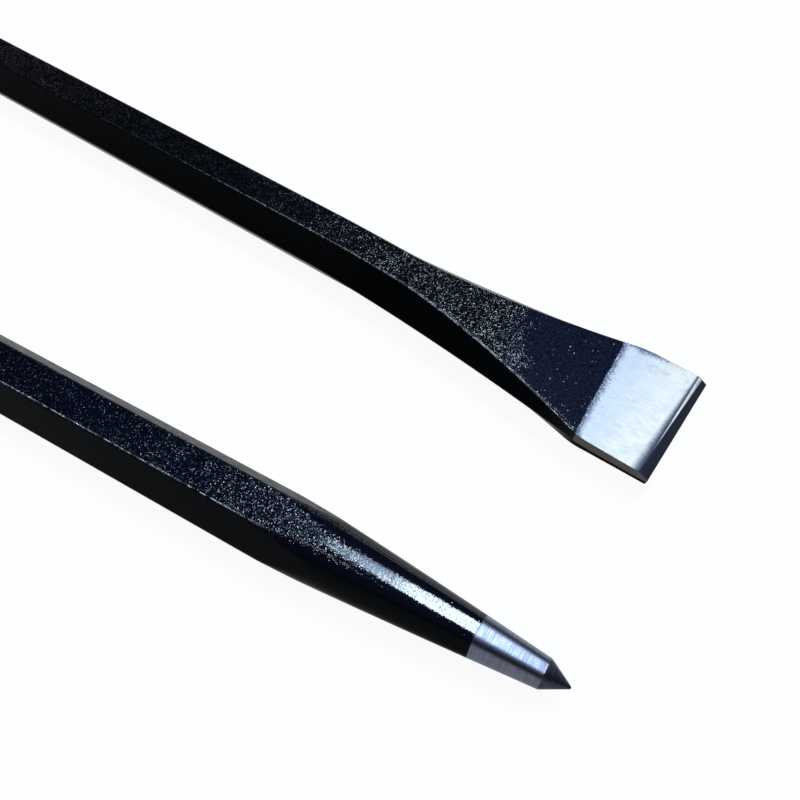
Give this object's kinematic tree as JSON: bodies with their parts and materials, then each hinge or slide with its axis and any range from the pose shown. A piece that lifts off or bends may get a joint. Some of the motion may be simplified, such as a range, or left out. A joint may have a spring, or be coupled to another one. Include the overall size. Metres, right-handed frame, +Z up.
{
  "type": "digging bar",
  "caption": "Hexagon steel digging bars lying side by side, head to tail, each forged to a flared chisel at one end and a round point at the other, black enamel with bright ground ends.",
  "frame": {"origin": "middle of the pair's box on the floor that both bars lie on", "axes": "+X along the bars, towards the ends that lie close together (the front bar's point and the rear bar's chisel); +Y from the front bar to the rear bar; +Z up, square to the flats that the bars rest on"},
  "size_m": [1.5076, 0.2918, 0.025],
  "materials": {
    "black_enamel": "gloss black enamel with a fine pebbled skin, over forged steel",
    "ground_steel": "bare steel, bright, with fine grinding lines",
    "tip_steel": "bare steel, darker, ground at a steeper angle"
  },
  "bodies": {
    "front_bar": {"front_shank": "black_enamel", "front_chisel_blade": "black_enamel", "front_chisel_bit": "ground_steel", "front_point_taper": "black_enamel", "front_point_collar": "ground_steel", "front_point_nib": "tip_steel"},
    "rear_bar": {"rear_shank": "black_enamel", "rear_chisel_blade": "black_enamel", "rear_chisel_bit": "ground_steel", "rear_point_taper": "black_enamel", "rear_point_collar": "ground_steel", "rear_point_nib": "tip_steel"}
  },
  "joints": [
    {"name": "rear_bar_lift", "type": "slide", "parent": "front_bar", "child": "rear_bar", "axis": [0, 0, 1], "range_m": [0, 0.3]}
  ]
}
